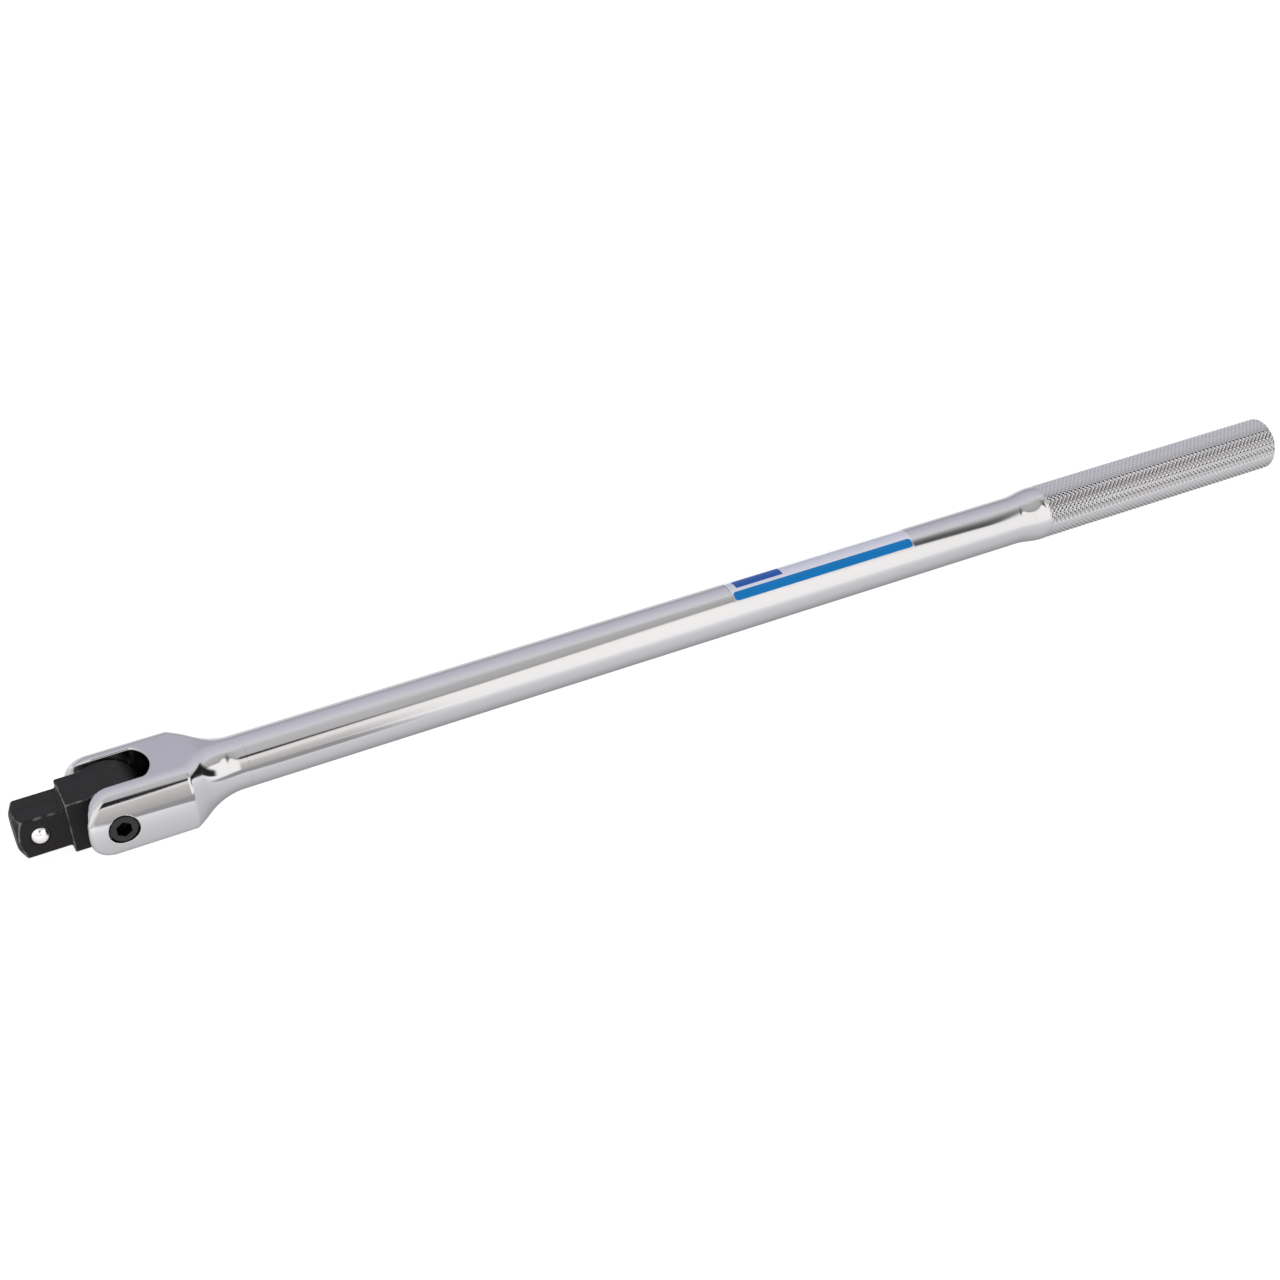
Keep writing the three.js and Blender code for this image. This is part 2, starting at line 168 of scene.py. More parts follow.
# ---------------------------------------------------------------- implicit surface helpers
def round_and(a, b, r):
    """Where both distances are inside, with a rounded edge of radius r between them."""
    return np.minimum(-r, np.maximum(a, b)) + np.hypot(np.maximum(r + a, 0), np.maximum(r + b, 0))


def round_or(a, b, r):
    """Where either distance is inside, with a fillet of radius r between them."""
    return np.maximum(r, np.minimum(a, b)) - np.hypot(np.maximum(r - a, 0), np.maximum(r - b, 0))


def gradient(f, p, h=2e-3):
    g = np.empty_like(p)
    for axis in range(3):
        step = np.zeros(3)
        step[axis] = h
        g[:, axis] = (f(p + step) - f(p - step)) / (2 * h)
    return g


def project(f, p, rounds=4):
    """Moves points onto the surface f = 0 and returns them with its unit normals."""
    for _ in range(rounds):
        g = gradient(f, p)
        shift = f(p) / np.maximum((g * g).sum(1), 0.05)
        p = p - np.clip(shift, -0.3, 0.3)[:, None] * g
    g = gradient(f, p)
    return p, g / np.linalg.norm(g, axis=1, keepdims=True)


def surface_net(f, low, high, cell):
    """Quads of the surface f = 0 inside a box, one vertex in each grid cell that it crosses."""
    low, high = np.array(low, float), np.array(high, float)
    count = np.ceil((high - low) / cell).astype(int) + 1
    axes = [low[i] + cell * np.arange(count[i]) for i in range(3)]
    grid = np.stack(np.meshgrid(*axes, indexing="ij"), -1)
    values = np.concatenate([f(layer.reshape(-1, 3)) for layer in grid]).reshape(count)
    inside = values < 0
    cells = count - 1
    total = np.zeros((*cells, 3))
    crossings = np.zeros(cells, int)
    corner = [(i, j, k) for i in (0, 1) for j in (0, 1) for k in (0, 1)]

    def part(array, offset):
        return array[tuple(slice(o, o + n) for o, n in zip(offset, cells))]

    for a in corner:
        for axis in range(3):
            if a[axis]:
                continue
            b = tuple(1 if i == axis else a[i] for i in range(3))
            va, vb = part(values, a), part(values, b)
            crossed = part(inside, a) != part(inside, b)
            share = np.where(crossed, va / np.where(crossed, va - vb, 1), 0)
            point = part(grid, a) + share[..., None] * (part(grid, b) - part(grid, a))
            total += np.where(crossed[..., None], point, 0)
            crossings += crossed
    used = crossings > 0
    index = np.full(cells, -1)
    index[used] = np.arange(used.sum())
    points = total[used] / crossings[used][:, None]
    quads = []
    for axis in range(3):
        u, v = (axis + 1) % 3, (axis + 2) % 3
        span = [slice(1, n) for n in cells]
        span[axis] = slice(0, cells[axis])
        ahead = list(span)
        ahead[axis] = slice(1, cells[axis] + 1)
        here, there = inside[tuple(span)], inside[tuple(ahead)]
        where = np.argwhere(here != there)
        start = np.array([s.start for s in span])
        c = where + start
        leaving = here[tuple(where.T)]
        back_u, back_v = np.eye(3, dtype=int)[u], np.eye(3, dtype=int)[v]
        ring = [c - back_u - back_v, c - back_v, c, c - back_u]
        quad = np.stack([index[tuple(r.T)] for r in ring], 1)
        whole = (quad >= 0).all(1)
        quad, leaving = quad[whole], leaving[whole]
        quads.append(np.where(leaving[:, None], quad, quad[:, ::-1]))
    return points, np.concatenate(quads)


def relax(f, points, quads, rounds):
    """Evens the quads out by moving each vertex to its neighbours' middle and back onto f = 0."""
    edges = np.concatenate([quads[:, [i, (i + 1) % 4]] for i in range(4)])
    edges = np.concatenate([edges, edges[:, ::-1]])
    degree = np.bincount(edges[:, 0], minlength=len(points))
    for _ in range(rounds):
        sums = [np.bincount(edges[:, 0], points[edges[:, 1], i], len(points)) for i in range(3)]
        middle = np.stack(sums, 1) / np.maximum(degree, 1)[:, None]
        points, _ = project(f, points + 0.5 * (middle - points), 2)
    return points


# ---------------------------------------------------------------- mesh helpers
def new_piece(name, points, faces, normals=None):
    """A mesh object from points in millimetres, smooth, with the given vertex normals if any."""
    mesh = bpy.data.meshes.new(name)
    mesh.from_pydata((np.asarray(points) * MM).tolist(), [], [list(map(int, f)) for f in faces])
    mesh.validate()
    mesh.update()
    mesh.polygons.foreach_set("use_smooth", np.ones(len(mesh.polygons), bool))
    if normals is not None:
        mesh.normals_split_custom_set_from_vertices(np.asarray(normals).tolist())
    piece = bpy.data.objects.new(name, mesh)
    bpy.context.scene.collection.objects.link(piece)
    return piece


def put(piece, body, slot, *nodes):
    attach(piece, body)
    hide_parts(*nodes)
    return piece


def attribute(piece, name, values):
    data = piece.data.attributes.new(name, "FLOAT", "POINT")
    data.data.foreach_set("value", np.asarray(values, np.float32))


def ring_faces(rings, segments, first=0):
    """Quads between rings of vertices that follow each other, with their faces out."""
    i = np.arange(rings - 1)[:, None] * segments + first
    j = np.arange(segments)[None, :]
    k = (j + 1) % segments
    return np.stack([i + j, i + k, i + segments + k, i + segments + j], -1).reshape(-1, 4)


def turned(profile, segments):
    """Points and faces of a turned shape: rows of (along, radius), closed on the axis at both ends."""
    angle = 2 * np.pi * np.arange(segments) / segments
    rows = [np.stack([np.full(segments, a), r * np.cos(angle), r * np.sin(angle)], 1) for a, r in profile]
    points = np.concatenate([*rows, [[profile[0][0], 0, 0], [profile[-1][0], 0, 0]]])
    faces = [list(f) for f in ring_faces(len(profile), segments)]
    start, end = len(points) - 2, len(points) - 1
    last = (len(profile) - 1) * segments
    for j in range(segments):
        k = (j + 1) % segments
        faces.append([start, k, j])
        faces.append([end, last + j, last + k])
    return points, faces


def arc(cx, cy, radius, from_deg, to_deg, steps):
    angle = np.radians(np.linspace(from_deg, to_deg, steps + 1))
    return list(zip(cx + radius * np.cos(angle), cy + radius * np.sin(angle)))


# ---------------------------------------------------------------- handle bar
SLOPE_ANGLE = math.atan(NECK_SLOPE)
SHOULDER_CENTRE_X = SHOULDER_X - SHOULDER_LEAD
SHOULDER_EXIT_X = SHOULDER_CENTRE_X + SHOULDER_RADIUS * math.sin(SLOPE_ANGLE)
SHOULDER_EXIT_RADIUS = BARREL_RADIUS - SHOULDER_RADIUS * (1 - math.cos(SLOPE_ANGLE))
NECK_END_X = (
    SHOULDER_EXIT_X
    + (SHOULDER_EXIT_RADIUS - SHAFT_RADIUS) / NECK_SLOPE
    + NECK_FILLET * math.tan(SLOPE_ANGLE / 2)
)
FILLET_START_X = NECK_END_X - NECK_FILLET * math.sin(SLOPE_ANGLE)


def outline_radius(x):
    """Radius of the turned outline from the yoke's barrel to the shaft, and its slope."""
    along = np.clip(x - SHOULDER_CENTRE_X, 0, SHOULDER_RADIUS * math.sin(SLOPE_ANGLE))
    shoulder = np.sqrt(SHOULDER_RADIUS**2 - along**2)
    radius = BARREL_RADIUS - SHOULDER_RADIUS + shoulder
    slope = -along / shoulder
    radius = radius - NECK_SLOPE * np.clip(x - SHOULDER_EXIT_X, 0, FILLET_START_X - SHOULDER_EXIT_X)
    left = np.clip(NECK_END_X - x, 0, NECK_END_X - FILLET_START_X)
    fillet = np.sqrt(NECK_FILLET**2 - left**2)
    late = x > FILLET_START_X
    radius = np.where(late, SHAFT_RADIUS + NECK_FILLET - fillet, radius)
    slope = np.where(late, -left / fillet, slope)
    return radius, slope


def yoke_outside(p):
    """Distance to the yoke's section: a barrel and two flats that fade into the neck, with corner arcs."""
    x, y, z = p[:, 0], np.abs(p[:, 1]), np.abs(p[:, 2])
    outline, slope = outline_radius(x)
    blend = np.maximum(FLAT_BLEND - np.abs(outline - FLAT_Z), 0) / FLAT_BLEND
    flat = np.minimum(outline, FLAT_Z) - blend**2 * FLAT_BLEND / 4 - CORNER_RADIUS
    core = outline - CORNER_RADIUS
    rho = np.maximum(np.hypot(y, z), 1e-9)
    corner_y = np.sqrt(np.maximum(core**2 - flat**2, 0))
    a, b = rho - core, z - flat
    result = np.where(z * core / rho <= flat, a, np.where(y <= corner_y, b, np.hypot(y - corner_y, b)))
    result = np.where((a < 0) & (b < 0), np.maximum(a, b), result)
    body = (result - CORNER_RADIUS) / np.sqrt(1 + slope**2)
    end = np.hypot(np.minimum(x - EAR_END_X - EAR_END_RADIUS, 0), z) - EAR_END_RADIUS
    on_flat = np.clip((z - 4) / 5, 0, 1)
    return round_and(body, end, EAR_RIM_RADIUS + (EAR_TOP_RADIUS - EAR_RIM_RADIUS) * on_flat)


def slot(p):
    """Distance to the slot seen from above: a flared mouth, straight walls, corner arcs, a round end."""
    into_mouth = np.clip(SLOT_MOUTH_X - p[:, 0], 0, SLOT_MOUTH_SHARE * SLOT_MOUTH_RADIUS)
    flare = SLOT_MOUTH_RADIUS - np.sqrt(SLOT_MOUTH_RADIUS**2 - into_mouth**2)
    x, y = p[:, 0] - (SLOT_END_X - SLOT_END_RADIUS), np.maximum(np.abs(p[:, 1]) - flare, 0)
    core = SLOT_END_RADIUS - SLOT_CORNER_RADIUS
    wall = SLOT_HALF_WIDTH - SLOT_CORNER_RADIUS
    corner_x = math.sqrt(core**2 - wall**2)
    a = y - wall
    b = np.where(x > 0, np.hypot(x, y), y) - core
    rho = np.maximum(np.hypot(x, y), 1e-9)
    on_end = (x > 0) & (y * core / rho <= wall)
    result = np.where(on_end, b, a)
    at_corner = ~on_end & (x > corner_x)
    result = np.where(at_corner, np.hypot(x - corner_x, y - wall), result)
    result = np.where((a < 0) & (b < 0), np.maximum(a, b), result)
    return result - SLOT_CORNER_RADIUS


def yoke(p):
    """Distance to the yoke and neck, with the slot, the screw's hole and the plunger's bore taken out."""
    x, y, z = p.T
    around_pivot = np.hypot(x - PIVOT_X, z)
    counterbore = np.maximum(around_pivot - COUNTERBORE_RADIUS, y - (SCREW_HEAD_Y + COUNTERBORE_DEPTH))
    hole = np.minimum(counterbore, around_pivot - SHANK_HOLE_RADIUS)
    rho = np.hypot(y, z)
    drill_point = (x - PLUNGER_BORE_TIP_X + DRILL_POINT_SLOPE * rho) * DRILL_POINT_SCALE
    bore = np.maximum(rho - PLUNGER_BORE_RADIUS, drill_point)
    body = round_and(yoke_outside(p), -slot(p), SLOT_EDGE_RADIUS)
    body = round_and(body, -hole, HOLE_EDGE_RADIUS)
    return round_and(body, -bore, BORE_EDGE_RADIUS)


def boundary_loop(quads):
    """The vertices round an open mesh's only border, in order."""
    seen = {}
    for quad in quads:
        for a, b in zip(quad, np.roll(quad, -1)):
            seen[(int(a), int(b))] = True
    follow = {a: b for a, b in seen if (b, a) not in seen}
    start = next(iter(follow))
    loop = [start]
    while follow[loop[-1]] != start:
        loop.append(follow[loop[-1]])
    return loop


def zip_rings(first, first_angle, second, second_angle):
    """Triangles between two closed rings given by vertex index and rising angle."""
    n, m = len(first), len(second)
    faces, i, j = [], 0, 0
    while i < n or j < m:
        next_i = first_angle[(i + 1) % n] + (2 * np.pi if i + 1 >= n else 0)
        next_j = second_angle[(j + 1) % m] + (2 * np.pi if j + 1 >= m else 0)
        if j >= m or (i < n and next_i <= next_j):
            faces.append([first[i % n], first[(i + 1) % n], second[j % m]])
            i += 1
        else:
            faces.append([first[i % n], second[(j + 1) % m], second[j % m]])
            j += 1
    return faces


def shaft_rings():
    """Stations along the shaft and the flare as rows of (x, radius, slope)."""
    rows = [(x, SHAFT_RADIUS, 0.0) for x in np.arange(YOKE_CUT_X + 0.4, FLARE_START_X - 1, SHAFT_STEP)]
    rise, span = GRIP_RADIUS - SHAFT_RADIUS, FLARE_END_X - FLARE_START_X
    for t in np.linspace(0, 1, 22):
        radius = SHAFT_RADIUS + rise * (1 - math.cos(math.pi * t)) / 2
        slope = rise * math.pi / 2 / span * math.sin(math.pi * t)
        rows.append((FLARE_START_X + span * t, radius, slope))
    return rows


def yoke_mesh():
    """The yoke's points, normals and quads, and its open border's vertices with their angles."""
    low, high = (16.8, -16.7, -11.3), (YOKE_CUT_X + 0.3, 16.7, 11.3)
    points, quads = surface_net(yoke, low, high, YOKE_CELL)
    points, _ = project(yoke, points)
    points = relax(yoke, points, quads, 3)
    loop = boundary_loop(quads)
    points, normals = project(yoke, points)
    angles = np.unwrap(np.arctan2(points[loop, 2], points[loop, 1]))
    if angles[-1] < angles[0]:
        loop = loop[::-1]
        angles = angles[::-1]
    start = int(np.argmin(np.mod(angles, 2 * np.pi)))
    loop = loop[start:] + loop[:start]
    angles = np.sort(np.mod(np.arctan2(points[loop, 2], points[loop, 1]), 2 * np.pi))
    outward = np.stack([np.zeros(len(loop)), np.cos(angles), np.sin(angles)], 1)
    points[loop] = SHAFT_RADIUS * outward + [YOKE_CUT_X, 0, 0]
    normals[loop] = outward
    return points, normals, quads, loop, angles


def knurl_points(stations, circle):
    """Rows of points on the knurl, with how dark its grooves are painted, as painted shade in a band round
    the grip, and how bright its ridges are painted, as a painted highlight in that band.
    """
    i, j = np.meshgrid(np.arange(stations), np.arange(len(circle)), indexing="ij")
    x = KNURL_START_X + KNURL_PITCH / 4 * i
    u, v = (i + j) / 4, (i - j) / 4
    ridge = np.minimum(1 - np.abs(2 * np.mod(u, 1) - 1), 1 - np.abs(2 * np.mod(v, 1) - 1))
    run_in = np.clip((x - KNURL_START_X) / KNURL_RUN_IN, 0, 1)
    over = np.clip((x - (GRIP_END_X - GRIP_EDGE_RADIUS)) / GRIP_EDGE_RADIUS, 0, 1)
    radius = GRIP_RADIUS - GRIP_EDGE_RADIUS * (1 - np.sqrt(1 - over**2))
    fade = run_in * run_in * (3 - 2 * run_in) * (1 - 0.75 * over)
    radius = radius - KNURL_DEPTH * fade * (1 - ridge)
    points = np.stack([x, radius * circle[j, 0], radius * circle[j, 1]], -1).reshape(-1, 3)
    # A band round the grip, strongest some way off level: painted shade in its grooves and a painted
    # highlight on its ridges.
    off_level = np.degrees(np.arctan2(np.abs(circle[j, 1]), np.abs(circle[j, 0])))
    painted_light_band = fade * np.exp(-(((off_level - PAINTED_LIGHT_ANGLE) / PAINTED_LIGHT_SPREAD) ** 2))
    groove_darkening_and_painted_shade = (1 - ridge) * (GROOVE_DARKENING_EVERYWHERE * fade + GROOVE_PAINTED_SHADE_IN_BAND * painted_light_band)
    return points, groove_darkening_and_painted_shade.ravel(), (ridge * painted_light_band).ravel()


def knurl_faces(stations, segments, first):
    """Triangles between the knurl's rows, cut so that the ridges and grooves lie on their edges."""
    i, j = np.meshgrid(np.arange(stations - 1), np.arange(segments), indexing="ij")
    i, j = i.ravel(), j.ravel()
    k = (j + 1) % segments
    a, b = first + i * segments + j, first + i * segments + k
    c, d = a + segments, b + segments
    rising = (np.mod(i - j, 4) == 0)[:, None]
    one = np.where(rising, np.stack([a, b, d], 1), np.stack([a, b, c], 1))
    two = np.where(rising, np.stack([a, d, c], 1), np.stack([b, d, c], 1))
    return one, two


def set_normals(mesh, normals, smooth_count):
    """Gives the first faces the vertices' normals and leaves the other faces flat."""
    loops = np.empty(len(mesh.loops), int)
    mesh.loops.foreach_get("vertex_index", loops)
    starts = np.empty(len(mesh.polygons), int)
    mesh.polygons.foreach_get("loop_start", starts)
    face_normals = np.empty(len(mesh.polygons) * 3)
    mesh.polygons.foreach_get("normal", face_normals)
    sizes = np.diff(np.append(starts, len(loops)))
    face_of_loop = np.repeat(np.arange(len(sizes)), sizes)
    flat = (face_of_loop >= smooth_count)[:, None]
    chosen = np.where(flat, face_normals.reshape(-1, 3)[face_of_loop], normals[loops])
    mesh.normals_split_custom_set(chosen.tolist())


def make_handle_bar():
    points, normals, quads, loop, angles = yoke_mesh()
    segments = 4 * KNURL_STARTS
    turn = 2 * np.pi * np.arange(segments) / segments
    circle = np.stack([np.cos(turn), np.sin(turn)], 1)
    all_points, all_normals = [points], [normals]
    plain = shaft_rings()
    for x, radius, slope in plain:
        all_points.append(np.concatenate([np.full((segments, 1), x), radius * circle], 1))
        lean = 1 / math.hypot(1, slope)
        all_normals.append(np.concatenate([np.full((segments, 1), -slope * lean), circle * lean], 1))
    stations = int((GRIP_END_X - GRIP_EDGE_RADIUS * 0.3 - KNURL_START_X) / (KNURL_PITCH / 4))
    knurl, groove_darkening_and_painted_shade, painted_ridge_highlight = knurl_points(stations, circle)
    all_points.append(knurl)
    end_ring = GRIP_RADIUS - GRIP_EDGE_RADIUS * 1.05
    for radius in (end_ring, 0.5 * end_ring):
        all_points.append(np.concatenate([np.full((segments, 1), GRIP_END_X), radius * circle], 1))
    all_points.append(np.array([[GRIP_END_X, 0, 0]]))

    first = len(points)
    knurl_first = first + len(plain) * segments
    knurl_last = knurl_first + (stations - 1) * segments
    end_first = knurl_last + segments
    rim = end_first + segments
    centre = rim + segments
    zipped = zip_rings(loop, angles, [first + i for i in range(segments)], turn)
    smooth = [quads, ring_faces(len(plain), segments, first)]
    flat = [
        ring_faces(2, segments, knurl_first - segments),
        *knurl_faces(stations, segments, knurl_first),
        ring_faces(2, segments, knurl_last),
        ring_faces(2, segments, end_first),
        [[centre, rim + s, rim + (s + 1) % segments] for s in range(segments)],
    ]
    smooth_faces = [list(map(int, f)) for part in smooth for f in part] + zipped
    flat_faces = [list(map(int, f)) for part in flat for f in part]
    points = np.concatenate(all_points)
    normals = np.concatenate(all_normals)
    normals = np.concatenate([normals, np.tile([1.0, 0, 0], (len(points) - len(normals), 1))])
    piece = new_piece("handle_bar_chrome", points, smooth_faces + flat_faces)
    set_normals(piece.data, normals, len(smooth_faces))
    for name, values in (("groove_darkening_and_painted_shade", groove_darkening_and_painted_shade), ("painted_ridge_highlight", painted_ridge_highlight)):
        attribute(piece, name, np.concatenate([np.zeros(knurl_first), values, np.zeros(2 * segments + 1)]))
    return put(piece, "handle", "chrome_bar", "handle_bar")


# ---------------------------------------------------------------- drive head
def head(p):
    """Distance to the drive head: square, tongue and eye, with the pivot bore and the ball's pocket."""
    x, y, z = p[:, 0], p[:, 1], p[:, 2]
    half = SQUARE / 2
    core = half - SQUARE_EDGE_RADIUS
    over_y, over_z = np.abs(y) - core, np.abs(z) - core
    outside = np.hypot(np.maximum(over_y, 0), np.maximum(over_z, 0))
    square = outside + np.minimum(np.maximum(over_y, over_z), 0) - SQUARE_EDGE_RADIUS
    cone = (np.hypot(y, z) - TIP_FLAT_RADIUS - TIP_SLOPE * x) / math.hypot(1, TIP_SLOPE)
    square = round_and(square, cone, 0.35)
    square = round_and(square, TIP_X - x, 0.25)
    square = np.maximum(square, x - PIVOT_X + 4)
    block = round_and(np.abs(z) - TONGUE_HALF_HEIGHT, SQUARE_END_X - x, 0.5)
    block = np.maximum(block, x - PIVOT_X)
    outline = round_or(block, np.hypot(x - PIVOT_X, z) - EYE_RADIUS, 1.5)
    tongue = round_and(outline, np.abs(y) - TONGUE_HALF_WIDTH, 0.45 + 0.5 * np.clip((x - 21) / 6, 0, 1))
    body = round_or(square, tongue, 0.8)
    bore = np.hypot(x - PIVOT_X, z) - SHANK_HOLE_RADIUS
    body = round_and(body, -bore, 0.3)
    from_ball = np.hypot(x - BALL_X, z)
    depth = y + half
    dish = np.maximum(0.4 * (from_ball - BALL_DISH_RADIUS) + 0.9 * depth, depth - BALL_DISH_DEPTH)
    mouth = np.maximum(from_ball - BALL_MOUTH_RADIUS, depth - BALL_MOUTH_DEPTH)
    well_ends = np.maximum(BALL_BORE_START - depth, depth - BALL_BORE_DEPTH)
    well = np.maximum(from_ball - BALL_BORE_RADIUS, well_ends)
    seat = np.hypot(from_ball, y - BALL_Y) - BALL_RADIUS - BALL_GAP
    pocket = np.minimum(np.minimum(mouth, well), np.minimum(dish, seat))
    return round_and(body, -pocket, 0.12)


def make_drive_head():
    low, high = (-0.5, -8.1, -10.5), (38.8, 8.1, 10.5)
    points, quads = surface_net(head, low, high, HEAD_CELL)
    points, _ = project(head, points)
    points = relax(head, points, quads, 3)
    points, normals = project(head, points)
    reach, sharpest = 0.35, 2.2
    around = sum(head(points + reach * s * e) for s in (-1, 1) for e in np.eye(3))
    wear = np.clip((around - 6 * head(points)) / reach**2 / sharpest, 0, 1)
    by_ball = np.hypot(points[:, 0] - BALL_X, points[:, 2]) < BALL_FACE_RADIUS
    wear = np.where(by_ball & (points[:, 1] < -5), 0.3 * wear, wear)
    piece = new_piece("drive_head_forging", points, quads, normals)
    attribute(piece, "edge_wear", wear)
    return put(piece, "head", "black_head", "drive_head")


# ---------------------------------------------------------------- pivot screw
def along_y(points, x=PIVOT_X):
    """Turns a shape made along X so that it runs along Y, through a place on the bar's axis."""
    points = np.asarray(points)
    return np.stack([x + points[:, 2], points[:, 0], points[:, 1]], 1)


def make_pivot_screw():
    segments = 96
    angle = 2 * np.pi * np.arange(segments) / segments
    apothem = HEX_ACROSS_FLATS / 2
    sixth = np.pi / 3
    hexagon = apothem / np.cos(np.mod(angle + sixth / 2 + np.pi / 2, sixth) - sixth / 2)
    circle = np.ones(segments)
    face = SCREW_HEAD_Y
    shank = SCREW_SHANK_RADIUS
    rows = [
        (face + 3.9, 0.02 * circle),
        (face + HEX_DEPTH, hexagon * 0.98),
        (face + HEX_DEPTH - 0.1, hexagon),
        (face + 0.22, hexagon),
        (face + 0.05, hexagon + 0.1),
        (face, hexagon + 0.25),
        (face, 3.2 * circle),
        (face, 3.72 * circle),
    ]
    rows += [(y, r * circle) for y, r in arc(face + 0.42, SCREW_HEAD_RADIUS - 0.42, 0.42, 180, 90, 5)]
    rows += [(y, SCREW_HEAD_RADIUS * circle) for y in np.linspace(face + 0.7, face + 4.35, 4)]
    rows += [(face + 4.6, (SCREW_HEAD_RADIUS - 0.25) * circle), (face + 4.6, 3.45 * circle)]
    rows += [(face + 4.9, shank * circle), (THREAD_START_Y - 0.4, shank * circle)]
    for y in np.arange(THREAD_START_Y, SCREW_TIP_Y - 0.7, THREAD_PITCH / 8):
        phase = np.mod(y / THREAD_PITCH - angle / (2 * np.pi), 1)
        groove = np.abs(2 * phase - 1)
        rows.append((y, shank - THREAD_DEPTH * min(1.0, y - THREAD_START_Y) * groove))
    rows += [(SCREW_TIP_Y - 0.55, 3.2 * circle), (SCREW_TIP_Y, 2.7 * circle), (SCREW_TIP_Y, 0.02 * circle)]
    rings = [np.stack([np.full(segments, y), r * np.cos(angle), r * np.sin(angle)], 1) for y, r in rows]
    points = np.concatenate(rings)
    faces = [list(map(int, f)) for f in ring_faces(len(rows), segments)]
    last = (len(rows) - 1) * segments
    faces.append(list(range(segments))[::-1])
    faces.append([last + s for s in range(segments)])
    piece = new_piece("pivot_screw_socket_head", along_y(points), faces)
    in_socket = np.repeat(np.arange(len(rows)) < 5, segments)
    attribute(piece, "socket", in_socket)
    piece.data.set_sharp_from_angle(angle=math.radians(32))
    return put(piece, "handle", "black_screw", "pivot_screw")


# ---------------------------------------------------------------- ball, plunger and springs
def make_retaining_ball():
    """A ball from a cube's six sides, each a grid pushed out to the radius."""
    n = 20
    side = np.tan(np.linspace(-np.pi / 4, np.pi / 4, n + 1))
    u, v = np.meshgrid(side, side, indexing="ij")
    one = np.ones_like(u)
    sheets = [(one, u, v), (-one, v, u), (v, one, u), (u, -one, v), (u, v, one), (v, u, -one)]
    points, faces = [], []
    for s, sheet in enumerate(sheets):
        p = np.stack(sheet, -1).reshape(-1, 3)
        points.append(p / np.linalg.norm(p, axis=1, keepdims=True))
        for i in range(n):
            for j in range(n):
                a = s * (n + 1) ** 2 + i * (n + 1) + j
                faces.append([a, a + n + 1, a + n + 2, a + 1])
    points = np.concatenate(points)
    keys, index = np.unique(np.round(points, 6), axis=0, return_inverse=True)
    index = index.ravel()
    faces = [[int(index[v]) for v in f] for f in faces]
    piece = new_piece("retaining_ball_steel", keys * BALL_RADIUS + [BALL_X, BALL_Y, 0], faces, keys)
    return put(piece, "ball", "ball_steel", "retaining_ball")


def make_friction_plunger():
    nose_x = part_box("friction_plunger")[0].x / MM
    end_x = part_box("friction_plunger")[1].x / MM
    nose, edge, end = PLUNGER_NOSE_RADIUS, PLUNGER_NOSE_EDGE, PLUNGER_END_EDGE
    nose_turn = np.linspace(0.01, math.asin((PLUNGER_RADIUS - edge) / nose), 9)
    profile = [(nose_x + nose - nose * math.cos(t), nose * math.sin(t)) for t in nose_turn]
    profile += arc(profile[-1][0] + 0.1, PLUNGER_RADIUS - edge, edge, 150, 90, 3)
    profile += [(x, PLUNGER_RADIUS) for x in np.linspace(nose_x + 1.6, end_x - 0.5, 5)]
    profile += arc(end_x - end, PLUNGER_RADIUS - end, end, 90, 0, 4)[1:]
    points, faces = turned(profile, 48)
    piece = new_piece("friction_plunger_pin", points, faces)
    piece.data.set_sharp_from_angle(angle=math.radians(35))
    return put(piece, "plunger", "ball_steel", "friction_plunger")


def coil(radius, wire, length, turns):
    """A compression spring along X from 0 to its length, with its end turns lying flatter."""
    steps, sides = turns * COIL_STEPS, 12
    t = np.linspace(0, 1, steps + 1)
    turn = 2 * np.pi * turns * t
    lift = t - np.sin(2 * np.pi * t) / (2 * np.pi) * 0.45
    centre = np.stack([wire + (length - 2 * wire) * lift, radius * np.cos(turn), radius * np.sin(turn)], 1)
    ahead = np.gradient(centre, axis=0)
    ahead /= np.linalg.norm(ahead, axis=1, keepdims=True)
    out = np.stack([np.zeros_like(turn), np.cos(turn), np.sin(turn)], 1)
    side = np.cross(ahead, out)
    angle = 2 * np.pi * np.arange(sides) / sides
    rings = [wire * (np.outer(np.cos(angle), o) + np.outer(np.sin(angle), s)) for o, s in zip(out, side)]
    points = np.concatenate([c + ring for c, ring in zip(centre, rings)])
    faces = [list(map(int, f)) for f in ring_faces(steps + 1, sides)]
    faces.append(list(range(sides))[::-1])
    faces.append([steps * sides + s for s in range(sides)])
    return points, faces


def make_springs():
    low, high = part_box("retaining_ball_spring")
    length = (high.y - low.y) / MM
    points, faces = coil(BALL_SPRING_RADIUS, BALL_SPRING_WIRE, length, BALL_SPRING_TURNS)
    points[:, 0] += low.y / MM
    ball_spring = new_piece("retaining_ball_spring_coil", along_y(points, BALL_X), faces)
    put(ball_spring, "head", "spring_steel", "retaining_ball_spring")
    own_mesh(ball_spring)
    low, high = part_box("friction_plunger_spring")
    length = (high.x - low.x) / MM
    points, faces = coil(PLUNGER_SPRING_RADIUS, PLUNGER_SPRING_WIRE, length, PLUNGER_SPRING_TURNS)
    points[:, 0] += low.x / MM
    plunger_spring = new_piece("friction_plunger_spring_coil", points, faces)
    put(plunger_spring, "handle", "spring_steel", "friction_plunger_spring")
    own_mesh(plunger_spring)
    return ball_spring, plunger_spring


